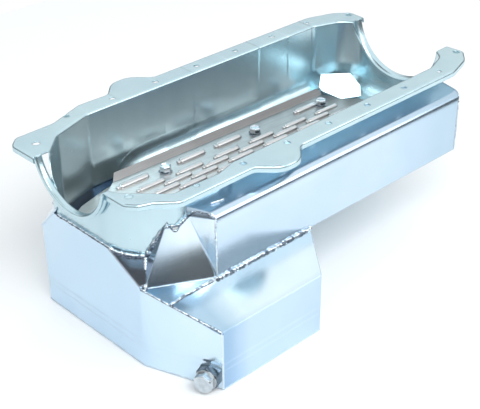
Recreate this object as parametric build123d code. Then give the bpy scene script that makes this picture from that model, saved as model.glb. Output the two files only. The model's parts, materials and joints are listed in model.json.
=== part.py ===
from build123d import *
import os
from math import atan, degrees, sqrt

os.makedirs("parts", exist_ok=True)

# Frame: origin at the centre of the rail bolt pattern, on the gasket face.
# X runs from the rear of the engine to the front, Z is up, the side kick-out is on the -Y side.

# Sheet, and how far a cutting block reaches past the part
sheet = 1.6
reach = 300.0

# Rails, flange and bolt pattern; holes are cut this far above and below the gasket face
rail_bolts = 7
bolt_pitch = 64.0
rail_bolt_y = 107.5
rail_bolt_r = 3.5
corner_bolt_r = 4.2
rear_corner_bolt = (-253.0, 77.7)
front_corner_bolt = (253.0, 87.5)
above = 10.0
lip_depth = 7.0
lip_round = 2.8
rail_edge_y = 120.5
ear_x = -91.0
ear_peak_y = 142.0

# Shell walls, outer faces
rear_wall_x = -262.4
front_wall_x = 246.6
rail_wall_y = 95.1
far_bulge = 2.4
bulge_x = -172.0
corner_x = 194.0
shell_depth = 96.6
floor_round = 26.0
rim_round = 3.0

# Seats of the half round end seals
rear_seat_r = 55.0
rear_seat_z = 12.0
rear_seat_width = 8.0
front_seat_r = 69.0
front_seat_z = 11.0
front_seat_width = 10.5
seat_lip = 5.0
seat_fold = 5.0
seat_margin = 2.0
seat_cut_len = 40.0

# Sump box and its side extension
sump_depth = 190.0
sump_rear_x = rear_wall_x - sheet
sump_front_x = -28.0
sump_near_y = -99.5
sump_corner = (-227.0, 81.6)
sump_corner_y = 67.0
weld_bite = 0.04
box_fold = 3.0
ext_y = -185.0
ext_rear_x = -232.0
ext_front_x = -90.0
ext_top_z = 3.9 - shell_depth
ext_slope = 0.296
weld_z = -66.0

# Side kick-out
kick_y = -130.0
kick_front_x = 207.0
kick_rear_x = -188.0
kick_top_z = -19.0
kick_top_slope = 0.17
kick_corner_r = 9.0
kick_floor_z = -shell_depth - 4.9
kick_floor_y = -68.0
kick_root_y = -98.0
kick_inside_y = -60.0
kick_frame = 8.0
sump_mouth_rise = 3.5

# Windage tray
tray_sheet = 1.5
tray_rise = 14.6
tray_z = tray_rise - shell_depth
tray_rear_x = -160.0
tray_fall = 0.0194
tray_far_y = rail_wall_y - 23
tray_near_y = -84.0
tray_front_x = 214.0
tray_strip = 7.0
louver_len = 38.0
louver_width = 6.5
louver_height = 3.0
hood_taper = 38.0
louver_pitch = 58.3
louver_row = 9.2
louver_first_y = 36.0
louver_first_x = -154.0
louver_drift = 3.4
louver_rows = 10
louvers_in_row = 6
louver_gap = 8.0
louver_row_gap = 10.0
tray_edge_gap = 6.0
edge_louver_y = 56.8
edge_louver_width = 8.0
edge_louvers = ((-166.0, 43.0), (-76.0, 40.0), (-17.0, 40.0), (120.0, 38.0))
screw_r = 3.0
screw_play = 0.3
drill = 5.0
tap_spare = 0.6
boss_web = 1.2
washer_inset = 0.4
washer_split = 0.8
screw_head_af = 11.0
screw_head_h = 4.5
lock_t = 1.2
screw_len = 9.0
screw_xs = (-101.8, 42.6, 161.5)
screw_far_y = 50.5
screw_near_y = -58.0
strip_slope = 1.0
boss_r = 7.0

# Sump baffle
baffle_z = -shell_depth - 0.4
baffle_inset = 8.0
angle_leg = 14.0
angle_half = 42.0
baffle_screw_len = 8.0
baffle_screw_y = angle_half * 0.6
baffle_screw_in = angle_leg * 0.72

# Drain
drain_z = 14.0 - sump_depth
drain_along = 75.8
collar_in = 5.0
washer_t = 1.5
thread_clear = 0.15
bung_af = 23.0
bung_out = 7.0
collar_step = 1.5
plug_af = 19.0
plug_head = 8.0
plug_r = 6.35
plug_chamfer = 1.2
washer_rim = 2.0


def prism(points, z_low, z_high):
    face = make_face(Polyline(*points, close=True))
    return extrude(Pos(0, 0, z_low) * face, z_high - z_low)


def block(x0, x1, y0, y1, z0, z1):
    return Pos((x0 + x1) / 2, (y0 + y1) / 2, (z0 + z1) / 2) * Box(x1 - x0, y1 - y0, z1 - z0)


def corner_vertex(face, x, y):
    return face.vertices().sort_by_distance((x, y, 0))[0]


def rounded_plan(corners):
    face = make_face(Polyline(*[(x, y) for x, y, r in corners], close=True))
    for x, y, r in corners:
        if r > 0:
            face = fillet(corner_vertex(face, x, y), r)
    return face


def through(p, q, r, outward):
    normal = (Vector(*q) - Vector(*p)).cross(Vector(*r) - Vector(*p)).normalized()
    if normal.dot(Vector(*outward)) < 0:
        normal = -normal
    return Plane(origin=p, x_dir=Vector(*q) - Vector(*p), z_dir=normal)


def under(plane, depth):
    return plane * Pos(0, 0, -depth / 2) * Box(3 * reach, 3 * reach, depth)


def over(plane):
    return plane * Pos(0, 0, reach / 2) * Box(3 * reach, 3 * reach, reach)


def side_prism(points, y0, y1):
    face = make_face(Polyline(*points, close=True))
    return Pos(0, y1, 0) * extrude(Plane.XZ * face, y1 - y0)


def end_prism(points, x0, x1):
    face = make_face(Polyline(*points, close=True))
    return Pos(x0, 0, 0) * extrude(Plane.YZ * face, x1 - x0)


def upright(x, y, r, z0, z1):
    return Pos(x, y, (z0 + z1) / 2) * Cylinder(r, z1 - z0)


def hexagon(across_flats, height):
    return extrude(RegularPolygon(across_flats / 2, 6, major_radius=False), height)


def far_wall(x):
    # outer face of the far wall, which stands out more towards the rear
    return rail_wall_y + far_bulge * (corner_x - x) / (corner_x - bulge_x)


# ---------------------------------------------------------------- upper shell
# plan corners of the walls, each with its radius
wall_plan = rounded_plan([
    (rear_wall_x, 46, 28),
    (-226, 80, 25),
    (bulge_x, far_wall(bulge_x), 30),
    (corner_x, rail_wall_y, 20),
    (230, 82, 32),
    (front_wall_x, 60, 30),
    (front_wall_x, -60, 30),
    (230, -82, 32),
    (corner_x, -rail_wall_y, 20),
    (-134, -98, 12),
    (-160, -105.4, 12),
    (-219, -103.5, 12),
    (rear_wall_x, -58, 40),
])
cavity_plan = offset(wall_plan, -sheet)
trough_zone = block(sump_front_x, reach, -reach, reach, -reach, above)
open_zone = block(-reach, sump_front_x, -reach, reach, -reach, above)


def trough(plan, depth, bottom_round):
    body = extrude(plan, -depth) & trough_zone
    edges = [e for e in body.edges().group_by(Axis.Z)[0] if e.center().X > sump_front_x + 1]
    return fillet(edges, bottom_round)


open_depth = shell_depth - sheet
envelope = trough(wall_plan, shell_depth, floor_round + sheet)
envelope += extrude(wall_plan, -open_depth) & open_zone
cavity = trough(cavity_plan, shell_depth - sheet, floor_round)
cavity += extrude(cavity_plan, -shell_depth) & open_zone

# plan corners of the flange with its two ears, each with its radius
rail_plan = rounded_plan([
    (-274, 40, 0),
    (-274, 93, 12),
    (-262, 104.5, 12),
    (-212, 105, 14),
    (-166, 122, 20),
    (ear_x - 34, rail_edge_y, 12),
    (ear_x - 13, ear_peak_y, 24),
    (ear_x + 13, ear_peak_y, 24),
    (ear_x + 34, rail_edge_y, 12),
    (206, rail_edge_y, 30),
    (244, 108, 30),
    (262, 92, 9),
    (260, 60, 0),
    (260, -60, 0),
    (262, -92, 9),
    (244, -108, 30),
    (206, -rail_edge_y, 30),
    (ear_x + 34, -rail_edge_y, 12),
    (ear_x + 13, -ear_peak_y, 24),
    (ear_x - 13, -ear_peak_y, 24),
    (ear_x - 34, -rail_edge_y, 12),
    (-224, -rail_edge_y, 14),
    (-244, -103, 12),
    (-257, -98, 12),
    (-267, -86, 10),
    (-267, -40, 0),
])


def flange_blank(plan, inset):
    top = -inset
    face = offset(plan, -inset) if inset else plan
    body = extrude(Pos(0, 0, -lip_depth) * face, lip_depth + top)
    return body if inset else fillet(body.edges().group_by(Axis.Z)[-1], lip_round)


# the mouth: the cavity flares where the flange rolls into the walls
ring = extrude(rail_plan, -lip_depth) - extrude(cavity_plan, -lip_depth)
rim = ring.faces().sort_by(Axis.Z)[-1].inner_wires()[0].edges()
mouth = extrude(rail_plan, -lip_depth) - fillet(rim, rim_round)
cavity += mouth

flange = flange_blank(rail_plan, 0) - flange_blank(rail_plan, sheet)
shell = (envelope & block(-reach, reach, -reach, reach, -reach, -sheet / 2)) + flange - cavity


def seat_band(x_wall, x_lip, radius, centre_z, lip):
    # sheet folded out of the end wall, along the half round and down again at its edge
    way = 1 if x_lip > x_wall else -1
    xo = x_lip - way * sheet
    ro = radius + sheet
    x_back = x_wall + way * sheet
    root = radius + seat_fold + seat_margin
    face = make_face(Polyline(
        (x_wall, root), (x_wall, radius), (x_lip, radius), (x_lip, radius + lip),
        (xo, radius + lip), (xo, ro), (x_back, ro), (x_back, root), close=True))
    face = fillet(corner_vertex(face, x_wall, radius), seat_fold)
    face = fillet(corner_vertex(face, x_back, ro), seat_fold - sheet)
    face = chamfer(corner_vertex(face, x_lip, radius), lip_round / 2)
    ring = revolve(face, Axis.X, 360)
    ring = Pos(0, 0, centre_z) * ring
    return ring & block(-reach, reach, -reach, reach, -reach, -sheet / 2)


def seat_cut(x0, x1, radius, centre_z, top_z):
    drum = Pos((x0 + x1) / 2, 0, centre_z) * Rot(0, 90, 0) * Cylinder(radius, abs(x1 - x0))
    return drum & block(-reach, reach, -reach, reach, -reach, top_z)


def add_seat(body, x_wall, way, width, radius, centre_z):
    inner = x_wall - way * sheet
    clear = radius + seat_fold + seat_margin
    half = radius + sheet / 2
    body -= seat_cut(x_wall, x_wall + way * seat_cut_len, half, centre_z, above)
    body -= seat_cut(inner - way * 0.01, x_wall + way * 0.01, clear, centre_z, -sheet)
    body -= seat_cut(inner - way * 2 * rim_round, x_wall, half, centre_z, above)
    return body + seat_band(inner, x_wall + way * width, radius, centre_z, seat_lip)


shell = add_seat(shell, rear_wall_x, -1, rear_seat_width, rear_seat_r, rear_seat_z)
shell = add_seat(shell, front_wall_x, 1, front_seat_width, front_seat_r, front_seat_z)

# open to the sump below, and to the kick-out on the near side
sump_mouth = block(-reach, sump_front_x - sheet, -reach, reach, -reach,
                   -shell_depth + sump_mouth_rise)
kick_mouth_x = kick_front_x - kick_frame
kick_mouth = side_prism([
    (-240, -84), (-231, -62), (-219, -38), (-199, -34),
    (kick_mouth_x, -32), (kick_mouth_x, kick_floor_z), (-240, kick_floor_z)], -reach, kick_floor_y)
shell -= sump_mouth
shell -= kick_mouth

for i in range(rail_bolts):
    for y in (rail_bolt_y, -rail_bolt_y):
        shell -= upright((i - (rail_bolts - 1) / 2) * bolt_pitch, y, rail_bolt_r, -above, 1)
for x, y in (rear_corner_bolt, front_corner_bolt):
    for side in (1, -1):
        shell -= upright(x, side * y, corner_bolt_r, -above, 1)
export_step(shell, "parts/upper_shell.step")

# ---------------------------------------------------------------- sump box
sump_plan = rounded_plan([
    (sump_rear_x, sump_near_y, box_fold),
    (sump_rear_x, sump_corner_y, box_fold),
    (*sump_corner, 20),
    (bulge_x, far_wall(bulge_x) + sheet - weld_bite, 31),
    (sump_front_x, far_wall(sump_front_x) + sheet - weld_bite, box_fold),
    (sump_front_x, sump_near_y, box_fold),
    (ext_front_x, ext_y, box_fold),
    (ext_rear_x, ext_y, 0),
])
inner_plan = offset(sump_plan, -sheet)
floor_top = -sump_depth + sheet
sump_floor = extrude(Pos(0, 0, -sump_depth) * sump_plan, sheet)
wall_height = weld_z - floor_top
walls = extrude(Pos(0, 0, floor_top) * sump_plan, wall_height)
walls -= extrude(Pos(0, 0, floor_top) * inner_plan, wall_height)

# corner points where the folded panels and the shoulder gussets meet
fold_low = -shell_depth - 24
W1 = (-261.5, -55, -67)
W2 = (-241, -82, -72.5)
V = (sump_rear_x, sump_near_y, ext_top_z + 2.7)
V2 = (-257.3, -102.6, ext_top_z + 3.5)
J2 = (-223, -98, -30)
T = (-203.5, -104, -27.4)
F = (kick_rear_x, kick_y, -32)
B = (kick_rear_x + 1.5, kick_y + 1, kick_floor_z - 0.2)
gusset_plane = through(W1, W2, V, (0, 0, 1))
strip_plane = through(V2, W2, J2, (-1, 0, 0))
main_plane = through((-257.3, -103, ext_top_z - 1.3), T, B, (0, -1, 0))
side_plane = Plane(origin=T, x_dir=(0, 0, 1), z_dir=(-0.862, -0.507, 0))
X1 = (-261.5, 46, -66)
X2 = (-229, 79, -72.5)
X3 = (sump_rear_x, 66.5, V[2])
far_plane = through(X1, X2, X3, (0, 0, 1))
ext_drop = (sump_near_y - ext_y) * ext_slope
ext_plane = through((sump_rear_x, sump_near_y, ext_top_z), (0, sump_near_y, ext_top_z),
                    (0, ext_y, ext_top_z - ext_drop), (0, 0, 1))


def kickout_block(inset):
    lean = inset * sqrt(1 + kick_top_slope ** 2)
    def top_z(y):
        return kick_top_z + kick_top_slope * (y - kick_root_y) - lean
    floor_rise = (kick_floor_z + shell_depth) / (kick_y - kick_floor_y)
    def low_z(y):
        return -shell_depth + floor_rise * (y - kick_floor_y) + inset
    y = kick_y + inset
    root = kick_inside_y
    body = end_prism([(root, top_z(root)), (y, top_z(y)), (y, low_z(y)), (kick_floor_y, low_z(kick_floor_y)),
                      (root, low_z(kick_floor_y))], -reach, kick_front_x - inset)
    body -= over(side_plane.offset(-inset))
    outer = [e for e in body.edges() if abs(e.center().Y - y) < 0.1 and abs(e.center().Z - top_z(y)) < 0.1]
    return fillet(outer, kick_corner_r - inset)


kick_outer = kickout_block(0)
kick_inner = kickout_block(sheet)
kick_shell = kick_outer - kick_inner - envelope

hole_low = kick_floor_z - 14
hole_top = kick_floor_z + 16
floor_hole = extrude(Pos(0, 0, hole_low) * inner_plan, hole_top - hole_low)
floor_hole &= block(-reach, sump_front_x, kick_y + sheet, kick_inside_y, hole_low, hole_top)
end_cap_zone = block(kick_front_x - sheet, reach, -reach, 0, -reach, 0)
side_zone = under(side_plane, sheet) & block(-reach, 0, -reach, 0, -reach, F[2])
kickout_front_cap = kick_shell & end_cap_zone
kickout_skin = kick_shell - end_cap_zone - side_zone - floor_hole

near_gusset = under(gusset_plane, sheet) & prism([
    V[:2], (sump_rear_x, -48), (-240, -48), (-228, -80), W2[:2], V2[:2]], fold_low, 0)
near_gusset = near_gusset & over(strip_plane) - envelope
far_gusset = under(far_plane, sheet) & prism([
    (sump_rear_x, sump_corner_y), (sump_rear_x, 36), (-240, 36), (-215, 80), sump_corner], fold_low, 0)
far_gusset -= envelope

strip = under(strip_plane, sheet) & end_prism([(-110, -96), (-97, -27), (-84, -40), (-70, -72)], -280, -190)
strip = strip & over(gusset_plane.offset(-sheet)) - over(main_plane) - envelope
main = under(main_plane, sheet) & side_prism([
    (V[0], V[2]), (J2[0] - 12, J2[2]), (J2[0], J2[2] + 4), (T[0], T[2]), (B[0], B[2]), (B[0], B[2] - 4),
    (V[0], V[2] - 12)], -reach, -70)
main = main - (over(strip_plane) & over(gusset_plane)) - envelope
main &= over(ext_plane)
side = side_zone & side_prism([T[::2], (F[0] + 3, F[2] + 6), (F[0] + 3, B[2] - 4), B[::2]], -reach, -70)
side = (side & kick_outer & over(ext_plane)) - envelope
starter_relief_panel = main + strip + side - near_gusset
kickout_skin -= starter_relief_panel
export_step(kickout_skin, "parts/kickout_skin.step")
export_step(kickout_front_cap, "parts/kickout_front_cap.step")
export_step(near_gusset, "parts/shoulder_gusset_near.step")
export_step(far_gusset, "parts/shoulder_gusset_far.step")
export_step(starter_relief_panel, "parts/starter_relief_panel.step")

# the band of the sump: rear face, angled panel, far side and front wall
cover_zone = block(ext_rear_x + sheet, 0, -reach, sump_near_y + 0.5, -reach, 0)
shell_space = envelope + kick_outer
walls -= shell_space
sump_wrap = walls - cover_zone
near_corner = block(-reach, -200, -reach, -40, fold_low, 0)
far_corner = block(-reach, -228, 40, reach, fold_low, 0)
sump_wrap -= over(gusset_plane.offset(-sheet)) & near_corner
sump_wrap -= over(far_plane.offset(-sheet)) & far_corner
sump_wrap -= over(ext_plane.offset(-sheet)) & block(-reach, 0, -reach, sump_near_y, -reach, 0)
extension_cover = walls & cover_zone
extension_cover -= over(ext_plane.offset(-sheet / 2))
ext_top = under(ext_plane, sheet) & extrude(Pos(0, 0, -sump_depth) * sump_plan, sump_depth)
ext_top -= prism([(-reach, reach), (-reach, -98), V[:2], (-250, -101), (kick_rear_x + 4, kick_y + 4),
                  (0, kick_y + 4), (0, reach)], -sump_depth, 0)
extension_cover = extension_cover + ext_top - kick_outer - near_gusset - starter_relief_panel
sump_wrap -= extension_cover
sump_wrap -= starter_relief_panel
sump_wrap -= far_gusset

# ---------------------------------------------------------------- drain
panel_dir = Vector(ext_rear_x - sump_rear_x, ext_y - sump_near_y, 0).normalized()
panel_out = Vector(panel_dir.Y, -panel_dir.X, 0)
drain_at = Vector(sump_rear_x, sump_near_y, drain_z) + panel_dir * drain_along
drain = Plane(origin=drain_at, x_dir=(0, 0, 1), z_dir=panel_out)
collar_r = bung_af / 2 - collar_step
drain_bung = hexagon(bung_af, bung_out) + Pos(0, 0, -collar_in / 2) * Cylinder(collar_r, collar_in)
bore = Cylinder(plug_r + thread_clear, 4 * (bung_out + collar_in))
drain_bung -= bore
drain_plug_washer = Cylinder(plug_af / 2 + washer_rim, washer_t) - bore
drain_plug_washer = Pos(0, 0, bung_out + washer_t / 2) * drain_plug_washer
head_z = bung_out + washer_t
plug_len = head_z + collar_in - 1
turned = Cylinder(plug_af / 2 + plug_chamfer, plug_head)
turned = chamfer(turned.edges().group_by(Axis.Z)[-1], plug_chamfer)
drain_plug = Pos(0, 0, head_z) * hexagon(plug_af, plug_head)
drain_plug = drain_plug & (Pos(0, 0, head_z + plug_head / 2) * turned)
drain_plug += Pos(0, 0, head_z - plug_len / 2) * Cylinder(plug_r, plug_len)
sump_wrap -= drain * Cylinder(collar_r, 4 * sheet)
export_step(drain * drain_bung, "parts/drain_bung.step")
export_step(drain * drain_plug, "parts/drain_plug.step")
export_step(drain * drain_plug_washer, "parts/drain_plug_washer.step")
export_step(sump_wrap, "parts/sump_wrap.step")
export_step(extension_cover, "parts/extension_cover.step")
export_step(sump_floor, "parts/sump_floor.step")

# ---------------------------------------------------------------- windage tray
# the tray is drawn level and then leans a little towards the front
tray_lean = Pos(tray_rear_x, 0, tray_z) * Rot(0, degrees(atan(tray_fall)), 0) * Pos(-tray_rear_x, 0, -tray_z)
tray_low = tray_z - tray_sheet
tray = prism([
    (-162, tray_far_y), (-205.4, 40), (-205.4, -62), (-192, tray_near_y), (tray_front_x - 20, tray_near_y),
    (tray_front_x, -60), (tray_front_x, 31), (tray_front_x - 17, 42), (tray_front_x - 22, 58),
    (tray_front_x - 27, tray_far_y)], tray_low, tray_z)
rise = tray_strip * strip_slope
fold_in = tray_sheet * (sqrt(2) - 1)
wing = end_prism([(tray_far_y - 2, tray_low), (tray_far_y - 2, tray_z), (tray_far_y, tray_z),
                  (tray_far_y + tray_strip, tray_z + rise), (tray_far_y + tray_strip + 1, tray_z + rise - 1),
                  (tray_far_y + fold_in, tray_low)], -reach, reach)
wing &= prism([
    (-162.5, tray_far_y - 1), (-146, tray_far_y + 16), (tray_front_x - 39, tray_far_y + 16),
    (tray_front_x - 27, tray_far_y + 4), (tray_front_x - 27, tray_far_y - 1)], -reach, 0)
tray += wing


def louver(length, width):
    # pressed hood with cut-off ends, open along its far side
    tip = length / 2
    bend = width / 2
    plan = make_face(Polyline(
        (-tip, 0), (bend - tip, -bend), (tip - bend, -bend), (tip, 0), (tip - bend, bend), (bend - tip, bend),
        close=True))
    dome = extrude(plan, louver_height, taper=hood_taper)
    hollow = Pos(0, tray_sheet, -tray_sheet * 0.75) * dome
    return (dome - hollow) & (Pos(0, width * 0.1 - reach, 0) * Box(reach, 2 * reach, reach))


def louver_slot(length, width):
    return Pos(0, width * 0.05, 0) * Box(length - width, width * 0.55, 10)


louver_places = [(x + length / 2, edge_louver_y, length, edge_louver_width) for x, length in edge_louvers]
for row in range(louver_rows):
    start = louver_first_x + louver_pitch / 2 * (row % 2) + louver_drift * row
    y = louver_first_y - row * louver_row
    for i in range(louvers_in_row):
        x = start + i * louver_pitch + louver_len / 2
        beside = abs(y - screw_near_y) > louver_row_gap
        clear = [beside or abs(x - sx) > louver_len / 2 + louver_gap for sx in screw_xs]
        if all(clear) and x + louver_len / 2 < tray_front_x - tray_edge_gap:
            louver_places.append((x, y, louver_len, louver_width))
scoop = {}
for x, y, length, width in louver_places:
    if (length, width) not in scoop:
        scoop[(length, width)] = (louver(length, width), louver_slot(length, width))
    hood, slot = scoop[(length, width)]
    tray -= Pos(x, y, tray_z) * slot
    tray += Pos(x, y, tray_z) * hood

screws = []
washers = []
bosses = []
for x in screw_xs:
    seat_z = baffle_z if x < sump_front_x else -shell_depth + sheet
    boss_h = tray_low - tray_fall * (x - tray_rear_x) - seat_z
    grip = min(screw_len, boss_h - boss_web)
    for y in (screw_far_y, screw_near_y):
        tray -= upright(x, y, screw_r + screw_play, tray_low - drill, tray_z + drill)
        boss = upright(x, y, boss_r, tray_low - 2 * boss_h, tray_low)
        boss -= upright(x, y, screw_r + thread_clear, tray_low - grip - tap_spare, tray_low + 1)
        bosses.append(tray_lean * boss - block(-reach, reach, -reach, reach, -reach, seat_z))
        head = Pos(x, y, tray_z + lock_t) * hexagon(screw_head_af, screw_head_h)
        screws.append(tray_lean * (head + upright(x, y, screw_r, tray_low - grip, tray_z + lock_t)))
        ring = upright(x, y, screw_head_af / 2 - washer_inset, tray_z, tray_z + lock_t)
        ring -= upright(x, y, screw_r + thread_clear, tray_z - 1, tray_z + drill)
        ring -= Pos(x + 4, y, tray_z) * Rot(0, 0, 20) * Box(4, washer_split, 9)
        washers.append(tray_lean * ring)
export_step(tray_lean * tray, "parts/windage_tray.step")
export_step(Compound(bosses), "parts/tray_bosses.step")
export_step(Compound(screws), "parts/tray_screws.step")
export_step(Compound(washers), "parts/tray_lock_washers.step")

# ---------------------------------------------------------------- sump baffle
baffle_low = baffle_z - tray_sheet
baffle_rear_x = sump_rear_x + baffle_inset
baffle_front_x = sump_front_x - baffle_inset
baffle_far_y = rail_wall_y - baffle_inset + 1
baffle_near_y = sump_near_y + baffle_inset + 1.5
baffle = prism([
    (baffle_rear_x, 44), (-205, 75.7), (-159.5, baffle_far_y), (baffle_front_x, baffle_far_y),
    (baffle_front_x, baffle_near_y), (-222, baffle_near_y), (baffle_rear_x, -60)], baffle_low, baffle_z)
angles = []
for x0, way in ((sump_rear_x + sheet, 1), (sump_front_x - sheet, -1)):
    leg = block(min(x0, x0 + way * sheet), max(x0, x0 + way * sheet), -angle_half, angle_half,
                baffle_low - angle_leg, baffle_low)
    foot = block(min(x0, x0 + way * angle_leg), max(x0, x0 + way * angle_leg), -angle_half, angle_half,
                 baffle_low - sheet, baffle_low)
    angles.append(leg + foot)
pins = []
for i, (x0, way) in enumerate(((sump_rear_x + sheet, 1), (sump_front_x - sheet, -1))):
    x = x0 + way * baffle_screw_in
    for y in (-baffle_screw_y, baffle_screw_y):
        baffle -= upright(x, y, screw_r + screw_play, baffle_low - drill, baffle_z + drill)
        angles[i] -= upright(x, y, screw_r + thread_clear, baffle_low - drill, baffle_z + drill)
        head = Pos(x, y, baffle_z) * hexagon(screw_head_af, screw_head_h)
        pins.append(head + upright(x, y, screw_r, baffle_low - baffle_screw_len, baffle_z))
export_step(baffle, "parts/sump_baffle.step")
export_step(angles[0], "parts/baffle_angle_rear.step")
export_step(angles[1], "parts/baffle_angle_front.step")
export_step(Compound(pins), "parts/baffle_screws.step")
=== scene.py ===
import bpy
import bmesh
import json
import math
from mathutils import Vector, Matrix


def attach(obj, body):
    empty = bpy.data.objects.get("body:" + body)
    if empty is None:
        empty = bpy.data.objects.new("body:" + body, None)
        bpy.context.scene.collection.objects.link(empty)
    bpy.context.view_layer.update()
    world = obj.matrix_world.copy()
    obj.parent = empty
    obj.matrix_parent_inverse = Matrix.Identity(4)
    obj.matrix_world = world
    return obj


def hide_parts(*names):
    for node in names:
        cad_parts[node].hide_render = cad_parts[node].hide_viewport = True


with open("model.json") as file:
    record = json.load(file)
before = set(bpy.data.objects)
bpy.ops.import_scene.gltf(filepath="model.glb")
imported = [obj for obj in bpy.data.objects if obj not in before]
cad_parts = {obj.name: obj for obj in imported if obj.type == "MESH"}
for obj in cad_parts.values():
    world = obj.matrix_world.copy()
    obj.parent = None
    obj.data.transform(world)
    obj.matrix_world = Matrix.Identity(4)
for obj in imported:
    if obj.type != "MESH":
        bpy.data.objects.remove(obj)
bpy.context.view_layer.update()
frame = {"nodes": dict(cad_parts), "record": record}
mm = 0.001
print("frame loaded:", len(frame["nodes"]), "nodes")


# helpers for node trees
def addNode(tree, kind, **values):
    node = tree.nodes.new(kind)
    for key, value in values.items():
        setattr(node, key, value)
    return node


def setInputs(node, **values):
    for key, value in values.items():
        node.inputs[key].default_value = value
    return node


def wire(tree, *pairs):
    for start, end in pairs:
        tree.links.new(start, end)


def arrange(tree):
    # stands the nodes in columns by their distance from the output, so that every link runs to the right
    column = {node.name: 0 for node in tree.nodes}
    moved = True
    while moved:
        moved = False
        for link in tree.links:
            start, wanted = link.from_node.name, column[link.to_node.name] + 1
            if column[start] < wanted:
                column[start] = wanted
                moved = True
    filled = dict.fromkeys(column.values(), 0)
    for node in tree.nodes:
        place = column[node.name]
        node.location = (-240 * place, -300 * filled[place])
        filled[place] += 1


def mathNode(tree, operation, a, b=0.0):
    node = addNode(tree, "ShaderNodeMath", operation=operation)
    for i, value in enumerate((a, b)):
        if isinstance(value, (int, float)):
            node.inputs[i].default_value = value
        else:
            wire(tree, (value, node.inputs[i]))
    return node.outputs[0]


def mixColour(tree, factor, first, second, blend="MIX"):
    node = addNode(tree, "ShaderNodeMix", data_type="RGBA", blend_type=blend)
    for socket, value in ((node.inputs[0], factor), (node.inputs[6], first), (node.inputs[7], second)):
        if isinstance(value, (int, float)):
            socket.default_value = value
        elif isinstance(value, tuple):
            socket.default_value = (*value, 1)
        else:
            wire(tree, (value, socket))
    return node.outputs[2]


def spread(tree, value, low, high, toLow, toHigh):
    node = addNode(tree, "ShaderNodeMapRange")
    for key, number in (("From Min", low), ("From Max", high), ("To Min", toLow), ("To Max", toHigh)):
        node.inputs[key].default_value = number
    wire(tree, (value, node.inputs["Value"]))
    return node.outputs["Result"]


def splitPlace(tree, place):
    parts = addNode(tree, "ShaderNodeSeparateXYZ")
    wire(tree, (place, parts.inputs[0]))
    return parts.outputs


def scaledColour(colour, factor):
    return tuple(min(1.0, c * factor) for c in colour)


def addSockets(tree, inputs, outputs):
    for name, kind, value in inputs:
        socket = tree.interface.new_socket(name=name, in_out="INPUT", socket_type=kind)
        if value is not None:
            socket.default_value = value
    for name, kind in outputs:
        tree.interface.new_socket(name=name, in_out="OUTPUT", socket_type=kind)
    return addNode(tree, "NodeGroupInput").outputs, addNode(tree, "NodeGroupOutput").inputs


def newGroup(name, inputs, outputs):
    group = bpy.data.node_groups.new(name, "ShaderNodeTree")
    return (group, *addSockets(group, inputs, outputs))


# effects that several finishes share
rolled = {"streakScale": 70.0, "streakStretch": 0.06, "streakRise": 0.6, "grainShare": 0.25}


def makeRolledSheet():
    # mottle, press streaks and fine grain of plated sheet
    group, given, result = newGroup("rolledSheet", [
        ("Vector", "NodeSocketVector", None),
        ("Mottle Scale", "NodeSocketFloat", 16.0),
        ("Streak Amount", "NodeSocketFloat", 0.35),
        ("Grain Scale", "NodeSocketFloat", 900.0),
    ], [("Tone", "NodeSocketFloat"), ("Wear", "NodeSocketFloat"), ("Height", "NodeSocketFloat")])
    mottle = setInputs(addNode(group, "ShaderNodeTexNoise"), Detail=4.0, Roughness=0.55)
    stretch = setInputs(addNode(group, "ShaderNodeMapping"), Scale=(1.0, 1.0, rolled["streakStretch"]))
    streak = addNode(group, "ShaderNodeTexNoise")
    setInputs(streak, Scale=rolled["streakScale"], Detail=3.0, Roughness=0.6)
    grain = setInputs(addNode(group, "ShaderNodeTexNoise"), Detail=2.0, Roughness=0.5)
    wire(group, (given["Vector"], mottle.inputs["Vector"]), (given["Mottle Scale"], mottle.inputs["Scale"]),
         (given["Vector"], stretch.inputs["Vector"]), (stretch.outputs[0], streak.inputs["Vector"]),
         (given["Vector"], grain.inputs["Vector"]), (given["Grain Scale"], grain.inputs["Scale"]))
    streakPart = mathNode(group, "SUBTRACT", streak.outputs[0], 0.5)
    streakPart = mathNode(group, "MULTIPLY", streakPart, given["Streak Amount"])
    grainPart = mathNode(group, "SUBTRACT", grain.outputs[0], 0.5)
    grainPart = mathNode(group, "MULTIPLY", grainPart, rolled["grainShare"])
    tone = mathNode(group, "ADD", mottle.outputs[0], streakPart)
    tone = mathNode(group, "ADD", tone, grainPart)
    wear = mathNode(group, "ADD", grain.outputs[0], streakPart)
    height = mathNode(group, "ADD", grainPart, mathNode(group, "MULTIPLY", streakPart, rolled["streakRise"]))
    wire(group, (tone, result["Tone"]), (wear, result["Wear"]), (height, result["Height"]))
    arrange(group)
    return group


rubbing = {"bevelSamples": 4, "breakScale": 120.0, "breakShare": 0.3, "sharpFrom": 0.99, "sharpFull": 0.86}


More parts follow.
